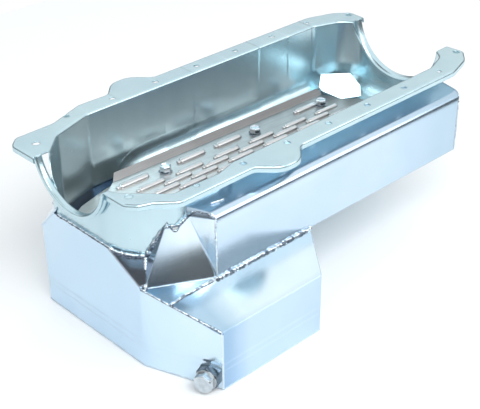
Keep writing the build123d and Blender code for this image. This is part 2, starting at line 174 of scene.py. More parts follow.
def makeEdgeRub():
    # rounds the look of every edge and gives a broken rub mark along it
    group, given, result = newGroup("edgeRub", [
        ("Vector", "NodeSocketVector", None),
        ("Radius", "NodeSocketFloat", 0.002),
        ("Amount", "NodeSocketFloat", 0.6),
    ], [("Mask", "NodeSocketFloat"), ("Normal", "NodeSocketVector")])
    shape = addNode(group, "ShaderNodeNewGeometry")
    rounded = addNode(group, "ShaderNodeBevel", samples=rubbing["bevelSamples"])
    breakUp = setInputs(addNode(group, "ShaderNodeTexNoise"), Scale=rubbing["breakScale"], Detail=3.0)
    turn = addNode(group, "ShaderNodeVectorMath", operation="DOT_PRODUCT")
    wire(group, (given["Vector"], breakUp.inputs["Vector"]), (given["Radius"], rounded.inputs["Radius"]),
         (shape.outputs["Normal"], turn.inputs[0]), (rounded.outputs[0], turn.inputs[1]))
    ridge = spread(group, turn.outputs["Value"], rubbing["sharpFrom"], rubbing["sharpFull"], 0.0, 1.0)
    broken = spread(group, breakUp.outputs[0], 0.35, 0.65, rubbing["breakShare"], 1.0)
    mask = mathNode(group, "MULTIPLY", ridge, broken)
    mask = mathNode(group, "MULTIPLY", mask, given["Amount"])
    wire(group, (mask, result["Mask"]), (rounded.outputs[0], result["Normal"]))
    arrange(group)
    return group


handling = {"scuffTurn": (0.3, 0.5, 0.9), "scuffStretch": 0.25, "scuffWidth": 0.012,
            "spotScale": 85.0, "spotEdge": (0.03, 0.12), "patchScale": 14.0, "patchEdge": (0.56, 0.68)}


def makeHandling():
    # thin scuffs and a few pale spots from handling and shipping
    group, given, result = newGroup("handlingMarks", [
        ("Vector", "NodeSocketVector", None),
        ("Scuff Scale", "NodeSocketFloat", 30.0),
    ], [("Scuff", "NodeSocketFloat"), ("Spot", "NodeSocketFloat")])
    turn = addNode(group, "ShaderNodeMapping")
    setInputs(turn, Rotation=handling["scuffTurn"], Scale=(1.0, handling["scuffStretch"], 1.0))
    cells = addNode(group, "ShaderNodeTexVoronoi", feature="DISTANCE_TO_EDGE")
    patches = setInputs(addNode(group, "ShaderNodeTexNoise"), Scale=handling["patchScale"], Detail=2.0)
    spots = setInputs(addNode(group, "ShaderNodeTexVoronoi", feature="F1"), Scale=handling["spotScale"])
    wire(group, (given["Vector"], turn.inputs["Vector"]), (turn.outputs[0], cells.inputs["Vector"]),
         (given["Scuff Scale"], cells.inputs["Scale"]), (given["Vector"], patches.inputs["Vector"]),
         (given["Vector"], spots.inputs["Vector"]))
    line = spread(group, cells.outputs["Distance"], 0.0, handling["scuffWidth"], 1.0, 0.0)
    handled = spread(group, patches.outputs[0], *handling["patchEdge"], 0.0, 1.0)
    spot = spread(group, spots.outputs["Distance"], *handling["spotEdge"], 1.0, 0.0)
    wire(group, (mathNode(group, "MULTIPLY", line, handled), result["Scuff"]),
         (mathNode(group, "MULTIPLY", spot, handled), result["Spot"]))
    arrange(group)
    return group


rolledSheet = makeRolledSheet()
edgeRub = makeEdgeRub()
handlingMarks = makeHandling()


def placeGroup(tree, group, vector, **values):
    # underscores in the names of the values stand for the spaces of the socket names
    node = addNode(tree, "ShaderNodeGroup", node_tree=group)
    wire(tree, (vector, node.inputs["Vector"]))
    for key, value in values.items():
        node.inputs[key.replace("_", " ")].default_value = value
    return node.outputs


def newMaterial(name, metallic):
    material = bpy.data.materials.new(name)
    material.use_nodes = True
    tree = material.node_tree
    shader = tree.nodes["Principled BSDF"]
    shader.inputs["Metallic"].default_value = metallic
    place = addNode(tree, "ShaderNodeTexCoord").outputs["Object"]
    return material, tree, shader, place


def bumped(tree, normal, height, distance, strength):
    bump = setInputs(addNode(tree, "ShaderNodeBump"), Strength=strength, Distance=distance)
    wire(tree, (height, bump.inputs["Height"]), (normal, bump.inputs["Normal"]))
    return bump.outputs[0]


def paintedGradient(tree, place, base, axis, start, end, factor):
    # painted light and shade: the colour grows lighter or darker towards one end of the sheet, standing in for how
    # the light falls there
    share = spread(tree, splitPlace(tree, place)[axis], start * mm, end * mm, 0.0, 1.0)
    return mixColour(tree, share, base, factor, "MULTIPLY")


def foldedSlope(tree, place, axis, origin, first, second):
    # gentle bend pressed into a panel: beyond the origin its slope starts at first and grows with second
    along = mathNode(tree, "SUBTRACT", splitPlace(tree, place)[axis], origin * mm)
    along = mathNode(tree, "MAXIMUM", along, 0.0)
    curved = mathNode(tree, "MULTIPLY", mathNode(tree, "MULTIPLY", along, along), second)
    return mathNode(tree, "ADD", mathNode(tree, "MULTIPLY", along, first), curved)


def pressLines(tree, place, axis, lines, width, keep=None):
    # small steps left by the press, each given as a place and a height, and kept past one plane
    parts = splitPlace(tree, place)
    height = None
    for at, step in lines:
        ramp = addNode(tree, "ShaderNodeMapRange", interpolation_type="SMOOTHSTEP")
        low, high = (at - width / 2) * mm, (at + width / 2) * mm
        for key, number in (("From Min", low), ("From Max", high), ("To Max", step * mm)):
            ramp.inputs[key].default_value = number
        wire(tree, (parts[axis], ramp.inputs["Value"]))
        rise = ramp.outputs[0]
        height = rise if height is None else mathNode(tree, "ADD", height, rise)
    if keep:
        side, low, high = keep
        height = mathNode(tree, "MULTIPLY", height, spread(tree, parts[side], low * mm, high * mm, 0.0, 1.0))
    return height


zinc = {
    "castScale": 5.0, "castShare": 0.5, "castTint": (1.03, 1.0, 0.95),  # faint warm clouds
    "swellScale": 9.0, "rubBright": 1.15, "scuffShare": 0.3, "scuffDark": 0.8, "spotRough": 0.12,
    "grainDepth": 0.03, "grainStrength": 0.35,
}


def zincPlate(name, pale, deep, rough, streak=0.35, wave=0.0002, radius=1.4, paintedGradients=(), slope=None,
              lines=None, metallic=0.9, unevenness=0.08):
    # bright zinc with a blue cast over pressed or folded sheet
    material, tree, shader, place = newMaterial(name, metallic)
    sheet = placeGroup(tree, rolledSheet, place, Streak_Amount=streak)
    rub = placeGroup(tree, edgeRub, place, Radius=radius * mm)
    marks = placeGroup(tree, handlingMarks, place)
    cast = setInputs(addNode(tree, "ShaderNodeTexNoise"), Scale=zinc["castScale"], Detail=1.0)
    swell = setInputs(addNode(tree, "ShaderNodeTexNoise"), Scale=zinc["swellScale"], Detail=1.0, Roughness=0.4)
    wire(tree, (place, cast.inputs["Vector"]), (place, swell.inputs["Vector"]))
    base = mixColour(tree, spread(tree, sheet["Tone"], 0.3, 0.7, 0.0, 1.0), deep, pale)
    warm = tuple(c * f for c, f in zip(pale, zinc["castTint"]))
    base = mixColour(tree, spread(tree, cast.outputs[0], 0.5, 0.75, 0.0, zinc["castShare"]), base, warm)
    base = mixColour(tree, rub["Mask"], base, scaledColour(pale, zinc["rubBright"]))
    scuffed = mathNode(tree, "MULTIPLY", marks["Scuff"], zinc["scuffShare"])
    base = mixColour(tree, scuffed, base, scaledColour(deep, zinc["scuffDark"]))
    # painted light and shade along the sheet, from the gradients given
    for axis, start, end, factor in paintedGradients:
        base = paintedGradient(tree, place, base, axis, start, end, factor)
    gloss = spread(tree, sheet["Wear"], 0.3, 0.7, rough * (1 - unevenness), rough * (1 + unevenness))
    gloss = mathNode(tree, "ADD", gloss, mathNode(tree, "MULTIPLY", marks["Spot"], zinc["spotRough"]))
    normal = bumped(tree, rub["Normal"], swell.outputs[0], wave, 1.0)
    normal = bumped(tree, normal, sheet["Height"], zinc["grainDepth"] * mm, zinc["grainStrength"])
    if slope:
        normal = bumped(tree, normal, foldedSlope(tree, place, *slope), 1.0, 1.0)
    if lines:
        normal = bumped(tree, normal, pressLines(tree, place, **lines), 1.0, 1.0)
    wire(tree, (base, shader.inputs["Base Color"]), (gloss, shader.inputs["Roughness"]),
         (normal, shader.inputs["Normal"]))
    arrange(tree)
    return material


tray = {  # millimetres; the plate falls gently from its rear edge to the front
    "rearX": -160.0, "rearZ": -82.0, "fall": 0.0194,
    "hoodLength": 38.0, "hoodWidth": 7.8, "hoodHeight": 3.7, "sheet": 0.9,
    "pitch": 58.3, "rowStep": 9.2, "firstX": -154.0, "firstY": 36.0, "drift": 3.4, "rows": 10, "inRow": 6,
    "edgeY": 56.8, "edgeWidth": 9.0, "edgeRise": 1.15,
    "edgeHoods": ((-166.0, 43.0), (-76.0, 40.0), (-17.0, 40.0), (120.0, 38.0)),
    "screwX": (-101.8, 42.6, 161.5), "screwFarY": 50.5, "screwNearY": -58.0, "frontX": 214.0,
    "screwGap": (8, 10), "frontGap": 6,  # kept free of hoods, along and across
    "arch": (184, 128), "archPoints": 8, "endReach": 3.0, "sink": 0.05,
    "ballEnd": ((0.0, 0.05), (0.25, 0.40), (0.8, 0.66), (1.8, 0.80), (3.0, 0.70), (3.9, 0.30), (4.6, 0.55),
                (5.4, 0.84), (6.6, 0.97), (8.4, 1.0)),  # way in from the end, and share of the full section
    "plainEnd": ((2.4, 0.05), (2.7, 0.42), (3.4, 0.72), (4.6, 0.92), (6.4, 1.0)),
    "lipY": 66.0, "hoodLightRise": (0.6, 2.8),  # the painted highlight on the hoods starts and is full at these heights
    "seed": 3,
}


mill = {
    "mottleScale": 26.0, "streak": 0.1, "edgeRadius": 0.5, "rollStretch": 0.02, "rollScale": 900.0,
    "lineShare": 0.45, "lineDark": 0.82, "rubBright": 1.2, "glossSpan": (0.85, 1.2), "scuffRough": 0.15,
    "lineDepth": 0.04, "lineStrength": 0.5,
}


def millAluminium(name, pale, deep, rough, paintedGradients=(), raised=None):
    # rolled aluminium sheet with faint lines along its length
    material, tree, shader, place = newMaterial(name, 1.0)
    sheet = placeGroup(tree, rolledSheet, place, Mottle_Scale=mill["mottleScale"], Streak_Amount=mill["streak"])
    rub = placeGroup(tree, edgeRub, place, Radius=mill["edgeRadius"] * mm)
    marks = placeGroup(tree, handlingMarks, place)
    along = setInputs(addNode(tree, "ShaderNodeMapping"), Scale=(mill["rollStretch"], 1.0, 1.0))
    rolling = setInputs(addNode(tree, "ShaderNodeTexNoise"), Scale=mill["rollScale"], Detail=3.0)
    wire(tree, (place, along.inputs["Vector"]), (along.outputs[0], rolling.inputs["Vector"]))
    base = mixColour(tree, spread(tree, sheet["Tone"], 0.3, 0.7, 0.0, 1.0), deep, pale)
    lineMask = spread(tree, rolling.outputs[0], 0.35, 0.7, 0.0, mill["lineShare"])
    base = mixColour(tree, lineMask, base, scaledColour(deep, mill["lineDark"]))
    base = mixColour(tree, rub["Mask"], base, scaledColour(pale, mill["rubBright"]))
    # painted light and shade along the sheet, from the gradients given
    for axis, start, end, factor in paintedGradients:
        base = paintedGradient(tree, place, base, axis, start, end, factor)
    if raised:
        # painted highlight: the tops of the pressed hoods are lightened, up to the folded lip of the tray
        parts = splitPlace(tree, place)
        low, high = tray["hoodLightRise"]
        lean = mathNode(tree, "ADD", parts["X"], -tray["rearX"] * mm)
        lean = mathNode(tree, "MULTIPLY", lean, tray["fall"])
        lift = mathNode(tree, "ADD", parts["Z"], -tray["rearZ"] * mm)
        lift = mathNode(tree, "ADD", lift, lean)
        hoodLitShare = spread(tree, lift, low * mm, high * mm, 0.0, 1.0)
        beforeLip = spread(tree, parts["Y"], (tray["lipY"] + 2) * mm, tray["lipY"] * mm, 0.0, 1.0)
        base = mixColour(tree, mathNode(tree, "MULTIPLY", hoodLitShare, beforeLip), base, raised)
    low, high = mill["glossSpan"]
    gloss = spread(tree, rolling.outputs[0], 0.3, 0.7, rough * low, rough * high)
    gloss = mathNode(tree, "ADD", gloss, mathNode(tree, "MULTIPLY", marks["Scuff"], mill["scuffRough"]))
    normal = bumped(tree, rub["Normal"], rolling.outputs[0], mill["lineDepth"] * mm, mill["lineStrength"])
    wire(tree, (base, shader.inputs["Base Color"]), (gloss, shader.inputs["Roughness"]),
         (normal, shader.inputs["Normal"]))
    arrange(tree)
    return material


turned = {
    "mottleScale": 180.0, "edgeRadius": 0.4, "rubAmount": 0.9, "rubBright": 1.2, "glossSpan": (0.7, 1.4),
    "grainDepth": 0.05, "grainStrength": 0.5,
}


def turnedMetal(name, pale, deep, rough, grain=1400.0):
    # small machined or formed steel pieces, with rubbed edges
    material, tree, shader, place = newMaterial(name, 1.0)
    sheet = placeGroup(tree, rolledSheet, place, Mottle_Scale=turned["mottleScale"], Grain_Scale=grain)
    rub = placeGroup(tree, edgeRub, place, Amount=turned["rubAmount"], Radius=turned["edgeRadius"] * mm)
    base = mixColour(tree, spread(tree, sheet["Tone"], 0.3, 0.7, 0.0, 1.0), deep, pale)
    base = mixColour(tree, rub["Mask"], base, scaledColour(pale, turned["rubBright"]))
    low, high = turned["glossSpan"]
    gloss = spread(tree, sheet["Wear"], 0.3, 0.8, rough * low, rough * high)
    normal = bumped(tree, rub["Normal"], sheet["Height"], turned["grainDepth"] * mm, turned["grainStrength"])
    wire(tree, (base, shader.inputs["Base Color"]), (gloss, shader.inputs["Roughness"]),
         (normal, shader.inputs["Normal"]))
    arrange(tree)
    return material


wallSteps = {
    "axis": "X", "width": 4.0, "keep": ("Y", 90, 93),  # only on the far wall
    "lines": ((-169, 0.25), (-124, -0.25), (-64, 0.25), (-16, -0.25),
              (39, 0.25), (93, -0.25), (144, 0.25), (188, -0.25)),
}
foldLines = {"axis": "Z", "width": 4.0, "lines": ((-158, 0.8), (-166, 0.8))}
finishes = {
    "zinc_shell": zincPlate("shellZinc", (0.57, 0.74, 0.80), (0.505, 0.67, 0.735), 0.25, streak=0.5,
                            radius=1.3, unevenness=0.03, metallic=0.88, lines=wallSteps),
    # painted light: the sump sheet is lighter towards its near end
    "zinc_sump": zincPlate("sumpZinc", (0.615, 0.765, 0.90), (0.565, 0.725, 0.865), 0.17, lines=foldLines,
                           paintedGradients=[("Y", -97, -112, (1.09, 1.07, 1.04))]),
    # painted highlight along the top of the extension cover above z -116, and painted shade darkening it towards
    # its rear end
    "zinc_extension": zincPlate("extensionZinc", (0.58, 0.725, 0.865), (0.53, 0.68, 0.82), 0.16, lines=foldLines,
                                paintedGradients=[("Z", -120, -116, (1.3, 1.22, 1.1)),
                                        ("X", -195, -225, (0.60, 0.70, 0.80))]),
    # painted shade: the kick-out darkens towards its front end
    "zinc_kickout": zincPlate("kickoutZinc", (0.60, 0.735, 0.87), (0.55, 0.69, 0.83), 0.2,
                              paintedGradients=[("X", 60, 207, (0.80, 0.84, 0.84))], slope=("Z", -44, 0.0, -12.0)),
    # painted reflection and shade: the relief panel is dark, darkest at its rear end and lighter towards x -212
    "zinc_relief": zincPlate("reliefZinc", (0.46, 0.60, 0.74), (0.36, 0.50, 0.65), 0.12, wave=0.0014,
                             paintedGradients=[("X", -252, -212, (1.75, 1.52, 1.33))], slope=("Z", -104, -0.08, 1.35)),
    # painted reflection and shade: the gusset is dark, and the far one, beyond y 30, is painted lighter
    "zinc_gusset": zincPlate("gussetZinc", (0.35, 0.39, 0.46), (0.28, 0.32, 0.39), 0.12,
                             paintedGradients=[("Y", 0, 30, (1.75, 1.9, 1.88))]),
    "zinc_angles": zincPlate("angleZinc", (0.62, 0.72, 0.78), (0.52, 0.63, 0.70), 0.22),
    # painted shade: the tray darkens towards its front and on its far lip; painted highlight on the hood tops from
    # the last colour
    "tray_aluminium": millAluminium("trayAluminium", (0.70, 0.69, 0.68), (0.60, 0.59, 0.58), 0.33,
                                    [("X", -150, 0, (0.73, 0.72, 0.72)), ("Y", 70, 73, (0.52, 0.53, 0.54))],
                                    (0.67, 0.67, 0.67)),
    "baffle_aluminium": millAluminium("baffleAluminium", (0.68, 0.65, 0.63), (0.58, 0.56, 0.54), 0.36),
    "boss_steel": turnedMetal("bossSteel", (0.60, 0.66, 0.70), (0.46, 0.52, 0.56), 0.3),
    "screw_zinc": turnedMetal("screwZinc", (0.74, 0.79, 0.83), (0.52, 0.58, 0.63), 0.16),
    "lock_washer_steel": turnedMetal("lockWasherSteel", (0.44, 0.49, 0.53), (0.22, 0.26, 0.30), 0.24),
    # the bung's dark colour is partly painted shade, standing for its shaded sides, over its own darker steel
    "bung_steel": turnedMetal("bungSteel", (0.19, 0.23, 0.27), (0.11, 0.14, 0.17), 0.24),
    "plug_steel": turnedMetal("plugSteel", (0.64, 0.69, 0.73), (0.42, 0.48, 0.52), 0.2),
    "washer_copper": turnedMetal("sealRingMetal", (0.58, 0.60, 0.60), (0.42, 0.44, 0.45), 0.3),
}
# painted shade: dark strip under the wide beads for the shade in the undercut at their toes, with some heat tint
weldToeShade = turnedMetal("weldToeShade", (0.26, 0.31, 0.37), (0.07, 0.09, 0.12), 0.3, 700.0)
weldMetal = turnedMetal("weldMetal", (0.86, 0.93, 0.98), (0.50, 0.58, 0.66), 0.2, 700.0)
slotOf = {s["node"]: s["material_slot"] for s in frame["record"]["subparts"]}
print("finishes made:", len(finishes) + 2)


# pieces taken from the solids
sheetWork = {  # millimetres and degrees
    "joinGap": 0.004, "flatAngle": 0.6, "creaseAngle": 28, "bevelSegments": 2,
}


def mergedCopy(nodeName):
    mesh = frame["nodes"][nodeName].data.copy()
    mesh.name = nodeName + "Dressed"
    draft = bmesh.new()
    draft.from_mesh(mesh)
    bmesh.ops.remove_doubles(draft, verts=draft.verts, dist=sheetWork["joinGap"] * mm)
    bmesh.ops.dissolve_limit(draft, angle_limit=math.radians(sheetWork["flatAngle"]),
                             verts=draft.verts, edges=draft.edges)
    for face in draft.faces:
        face.smooth = True
    for edge in draft.edges:
        if len(edge.link_faces) == 2:
            edge.smooth = edge.calc_face_angle(0) < math.radians(sheetWork["creaseAngle"])
    return mesh, draft


def closeDraft(draft, mesh):
    draft.to_mesh(mesh)
    draft.free()
    return mesh


def addPiece(name, mesh):
    piece = bpy.data.objects.new(name, mesh)
    bpy.context.collection.objects.link(piece)
    return piece


ledge = {  # rolled edge of the floor that runs back beside the sump, as place and radius
    "stations": ((-139, 3), (-136, 9), (-131, 14.5), (-124, 19.2), (-115, 23), (-104, 25.2), (-92, 26), (-27, 26)),
    "innerWall": (95.85, 95.12), "floorZ": -95.0, "sheet": 1.6, "turn": 68, "steps": 10, "rise": 4.0,
}


def addSideLedge(draft):
    first, last = ledge["stations"][0][0], ledge["stations"][-1][0]
    rows = []
    for x, radius in ledge["stations"]:
        share = (x - first) / (last - first)
        wall = ledge["innerWall"][0] * (1 - share) + ledge["innerWall"][1] * share
        row = []
        for thick in (0.0, ledge["sheet"]):
            top = ledge["floorZ"] + radius + ledge["rise"]
            arc = [draft.verts.new(Vector((x, wall + thick, top)) * mm)]
            for i in range(ledge["steps"] + 1):
                angle = math.radians(ledge["turn"] * i / ledge["steps"])
                y = wall - radius + (radius + thick) * math.cos(angle)
                z = ledge["floorZ"] + radius - (radius + thick) * math.sin(angle)
                arc.append(draft.verts.new(Vector((x, y, z)) * mm))
            row.extend(arc if thick == 0 else reversed(arc))
        rows.append(row)
    count = len(rows[0])
    made = [draft.faces.new(rows[0]), draft.faces.new(list(reversed(rows[-1])))]
    for a, b in zip(rows, rows[1:]):
        for i in range(count):
            face = draft.faces.new((a[i], b[i], b[(i + 1) % count], a[(i + 1) % count]))
            face.smooth = i not in (count // 2 - 1, count - 1)  # flat across the edges of the sheet
            made.append(face)
    bmesh.ops.recalc_face_normals(draft, faces=made)


cornerRamp = {  # flat pressed into the far front corner of the floor, backed into the corner
    "edge": ((197.1, 83.6, -66.4), (226.2, 58.4, -66.2), (229.3, 42.8, -79.5), (224.0, 35.8, -91.4),
             (202.7, 51.8, -94.0), (188.6, 73.2, -84.8), (187.8, 78.1, -80.4)),
    "backing": (7.0, 7.5, -6.2),
}


def addCornerRamp(draft):
    back = Vector(cornerRamp["backing"])
    front = [draft.verts.new(Vector(p) * mm) for p in cornerRamp["edge"]]
    rear = [draft.verts.new((Vector(p) + back) * mm) for p in cornerRamp["edge"]]
    count = len(front)
    made = [draft.faces.new(front), draft.faces.new(list(reversed(rear)))]
    for i in range(count):
        made.append(draft.faces.new((front[i], rear[i], rear[(i + 1) % count], front[(i + 1) % count])))
    bmesh.ops.recalc_face_normals(draft, faces=made)


def dressed(nodeName, bevelWidth):
    mesh, draft = mergedCopy(nodeName)
    if nodeName == "upper_shell":
        addSideLedge(draft)
        addCornerRamp(draft)
    piece = addPiece(nodeName + "Dressed", closeDraft(draft, mesh))
    if bevelWidth:
        bevel = piece.modifiers.new("softEdges", "BEVEL")
        bevel.width = bevelWidth * mm
        bevel.segments = sheetWork["bevelSegments"]
        bevel.limit_method = "ANGLE"
        bevel.angle_limit = math.radians(sheetWork["creaseAngle"])
    level = piece.modifiers.new("levelNormals", "WEIGHTED_NORMAL")
    level.keep_sharp = True
    return piece


def finishPiece(piece, slotName, *nodeNames, material=None):
    material = material or finishes[slotName]
    piece.data.materials.clear()
    piece.data.materials.append(material)
    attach(piece, "root")
    if nodeNames:
        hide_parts(*nodeNames)


sheetEdges = {  # width of the softened edge in millimetres
    "upper_shell": 0,
    "sump_wrap": 0.5,
    "sump_floor": 0.5,
    "extension_cover": 0.6,
    "kickout_skin": 0.5,
    "kickout_front_cap": 0.4,
    "starter_relief_panel": 0.5,
    "shoulder_gusset_near": 0.4,
    "shoulder_gusset_far": 0.4,
    "drain_bung": 0.5,
    "drain_plug": 0.5,
    "drain_plug_washer": 0.3,
    "tray_bosses": 0.3,
    "sump_baffle": 0.3,
    "baffle_angle_rear": 0.4,
    "baffle_angle_front": 0.4,
}
for nodeName, width in sheetEdges.items():
    finishPiece(dressed(nodeName, width), slotOf[nodeName], nodeName)
print("sheet pieces dressed:", len(sheetEdges))


# node trees that build repeated shapes
def newShapeTree(name, inputs):
    tree = bpy.data.node_groups.new(name, "GeometryNodeTree")
    tree.is_modifier = True
    return (tree, *addSockets(tree, [("Geometry", "NodeSocketGeometry", None)] + inputs,
                              [("Geometry", "NodeSocketGeometry")]))


def makePartOnPoints():
    # one part on every point, each turned by its own small random angle
    tree, given, result = newShapeTree("partOnPoints", [
        ("Part", "NodeSocketObject", None),
        ("Finish", "NodeSocketMaterial", None),
        ("Tilt", "NodeSocketFloat", 0.0),
        ("Turn Range", "NodeSocketFloat", 0.0),
        ("Seed", "NodeSocketInt", 1),
    ])
    info = addNode(tree, "GeometryNodeObjectInfo", transform_space="ORIGINAL")
    turn = addNode(tree, "FunctionNodeRandomValue", data_type="FLOAT")
    angles = addNode(tree, "ShaderNodeCombineXYZ")
    size = setInputs(addNode(tree, "GeometryNodeInputNamedAttribute", data_type="FLOAT_VECTOR"), Name="partSize")
    points = addNode(tree, "GeometryNodeMeshToPoints")
    place = addNode(tree, "GeometryNodeInstanceOnPoints")
    real = addNode(tree, "GeometryNodeRealizeInstances")
    paint = addNode(tree, "GeometryNodeSetMaterial")
    wire(tree, (given["Geometry"], points.inputs["Mesh"]), (points.outputs[0], place.inputs["Points"]),
         (given["Part"], info.inputs["Object"]), (info.outputs["Geometry"], place.inputs["Instance"]),
         (given["Turn Range"], turn.inputs[3]), (given["Seed"], turn.inputs["Seed"]),
         (turn.outputs[1], angles.inputs["Z"]), (given["Tilt"], angles.inputs["Y"]),
         (angles.outputs[0], place.inputs["Rotation"]), (size.outputs[0], place.inputs["Scale"]),
         (place.outputs[0], real.inputs[0]), (real.outputs[0], paint.inputs["Geometry"]),
         (given["Finish"], paint.inputs["Material"]), (paint.outputs[0], result[0]))
    arrange(tree)
    return tree


ripples = {"segments": 8, "rings": 5, "sizeFrom": 0.82, "sizeTo": 1.18, "lap": 2.1}


def makeWeldBead():
    # overlapping ripples of weld metal along a line
    tree, given, result = newShapeTree("weldBead", [
        ("Bead Width", "NodeSocketFloat", 0.004),
        ("Bead Height", "NodeSocketFloat", 0.002),
        ("Ripple Pitch", "NodeSocketFloat", 0.0016),
        ("Wander", "NodeSocketFloat", 0.0004),
        ("Finish", "NodeSocketMaterial", None),
        ("Seed", "NodeSocketInt", 1),
    ])
    curve = addNode(tree, "GeometryNodeMeshToCurve")
    even = addNode(tree, "GeometryNodeCurveToPoints", mode="LENGTH")
    ripple = addNode(tree, "GeometryNodeMeshUVSphere")
    setInputs(ripple, Segments=ripples["segments"], Rings=ripples["rings"], Radius=0.5)
    smooth = addNode(tree, "GeometryNodeSetShadeSmooth")
    vary = addNode(tree, "FunctionNodeRandomValue", data_type="FLOAT")
    vary.inputs[2].default_value = ripples["sizeFrom"]
    vary.inputs[3].default_value = ripples["sizeTo"]
    length = mathNode(tree, "MULTIPLY", given["Ripple Pitch"], ripples["lap"])
    shape = addNode(tree, "ShaderNodeCombineXYZ")
    scaled = addNode(tree, "ShaderNodeVectorMath", operation="SCALE")
    shift = addNode(tree, "FunctionNodeRandomValue", data_type="FLOAT_VECTOR")
    shift.inputs[0].default_value = (-1, -1, -1)
    shift.inputs[1].default_value = (1, 1, 1)
    wander = addNode(tree, "ShaderNodeVectorMath", operation="SCALE")
    move = addNode(tree, "GeometryNodeSetPosition")
    place = addNode(tree, "GeometryNodeInstanceOnPoints")
    real = addNode(tree, "GeometryNodeRealizeInstances")
    paint = addNode(tree, "GeometryNodeSetMaterial")
    wire(tree, (given["Geometry"], curve.inputs["Mesh"]), (curve.outputs[0], even.inputs["Curve"]),
         (given["Ripple Pitch"], even.inputs["Length"]), (even.outputs["Points"], move.inputs["Geometry"]),
         (given["Seed"], vary.inputs["Seed"]), (given["Seed"], shift.inputs["Seed"]),
         (shift.outputs[0], wander.inputs[0]), (given["Wander"], wander.inputs["Scale"]),
         (wander.outputs[0], move.inputs["Offset"]), (move.outputs[0], place.inputs["Points"]),
         (ripple.outputs["Mesh"], smooth.inputs["Geometry"]), (smooth.outputs[0], place.inputs["Instance"]),
         (even.outputs["Rotation"], place.inputs["Rotation"]), (given["Bead Width"], shape.inputs["X"]),
         (given["Bead Height"], shape.inputs["Y"]), (length, shape.inputs["Z"]),
         (shape.outputs[0], scaled.inputs[0]), (vary.outputs[1], scaled.inputs["Scale"]),
         (scaled.outputs[0], place.inputs["Scale"]), (place.outputs[0], real.inputs[0]),
         (real.outputs[0], paint.inputs["Geometry"]), (given["Finish"], paint.inputs["Material"]),
         (paint.outputs[0], result[0]))
    arrange(tree)
    return tree


def socketId(tree, name):
    return next(s.identifier for s in tree.interface.items_tree if s.name == name and s.in_out == "INPUT")


def builtMesh(name, guide, tree, values):
    # runs the tree on a guide mesh and keeps the plain result
    helper = addPiece(name + "Guide", guide)
    modifier = helper.modifiers.new("shape", "NODES")
    modifier.node_group = tree
    for key, value in values.items():
        modifier[socketId(tree, key)] = value
    bpy.context.view_layer.update()
    graph = bpy.context.evaluated_depsgraph_get()
    mesh = bpy.data.meshes.new_from_object(helper.evaluated_get(graph), depsgraph=graph)
    helper.modifiers.remove(modifier)
    bpy.data.objects.remove(helper)
    mesh.name = name
    return mesh


partOnPoints = makePartOnPoints()
weldBead = makeWeldBead()


def guidePoints(name, places, sizes):
    mesh = bpy.data.meshes.new(name)
    mesh.from_pydata(places, [], [])
    size = mesh.attributes.new("partSize", "FLOAT_VECTOR", "POINT")
    for i, value in enumerate(sizes):
        size.data[i].vector = value
    return mesh


def repeatPart(name, part, places, sizes, finish, tilt, turn, seed):
    # the part stands in the scene only while the tree runs
    pattern = addPiece(name + "Part", part)
    mesh = builtMesh(name, guidePoints(name + "Points", places, sizes), partOnPoints, {
        "Part": pattern, "Finish": finish, "Tilt": tilt, "Turn Range": turn, "Seed": seed})
    bpy.data.objects.remove(pattern)
    return mesh


# windage tray
trayTilt = math.atan(tray["fall"])
trayLean = (Matrix.Translation((tray["rearX"], 0, tray["rearZ"])) @ Matrix.Rotation(trayTilt, 4, "Y")
            @ Matrix.Translation((-tray["rearX"], 0, -tray["rearZ"])))
trayLevel = trayLean.inverted()


def onTray(x, y, lift=0.0):
    return (trayLean @ Vector((x, y, tray["rearZ"] + lift))) * mm


def hoodPattern():
    # a pressed hood with a pinched ball at its rear end, open along its far side
    draft = bmesh.new()
    half = tray["hoodLength"] / 2 + tray["endReach"]
    stations = [(-half + along, size) for along, size in tray["ballEnd"]]
    stations += [(half - along, size) for along, size in reversed(tray["plainEnd"])]
    wide = tray["hoodWidth"] / 2
    first, swing = tray["arch"]
    spans = tray["archPoints"] - 1
    rows = []
    for x, size in stations:
        ring = []
        for i in range(spans + 1):
            angle = math.radians(first - i * swing / spans)
            y = math.cos(angle) * wide * size
            z = math.sin(angle) * tray["hoodHeight"] * size
            ring.append(draft.verts.new((x, y, z - tray["sink"])))
        rows.append(ring)
    for a, b in zip(rows, rows[1:]):
        for i in range(spans):
            draft.faces.new((a[i], a[i + 1], b[i + 1], b[i]))
    bmesh.ops.recalc_face_normals(draft, faces=draft.faces)
    if sum(face.normal.z for face in draft.faces) < 0:
        bmesh.ops.reverse_faces(draft, faces=draft.faces)
    for vert in draft.verts:
        vert.co *= mm
    bmesh.ops.solidify(draft, geom=draft.faces, thickness=tray["sheet"] * mm)
    for face in draft.faces:
        face.smooth = True
    return closeDraft(draft, bpy.data.meshes.new("hoodPattern"))


def onHood(vert):
    level = trayLevel @ (vert.co / mm)
    return level.z > tray["rearZ"] + tray["sink"] and level.y < tray["lipY"]


def trayPlate():
    # the tray without its plain hoods, so that the pressed ones can take their place
    mesh, draft = mergedCopy("windage_tray")
    gone = [face for face in draft.faces if any(onHood(vert) for vert in face.verts)]
    bmesh.ops.delete(draft, geom=gone, context="FACES")
    bmesh.ops.holes_fill(draft, edges=[edge for edge in draft.edges if edge.is_boundary], sides=0)
    bmesh.ops.recalc_face_normals(draft, faces=draft.faces)
    return closeDraft(draft, mesh)


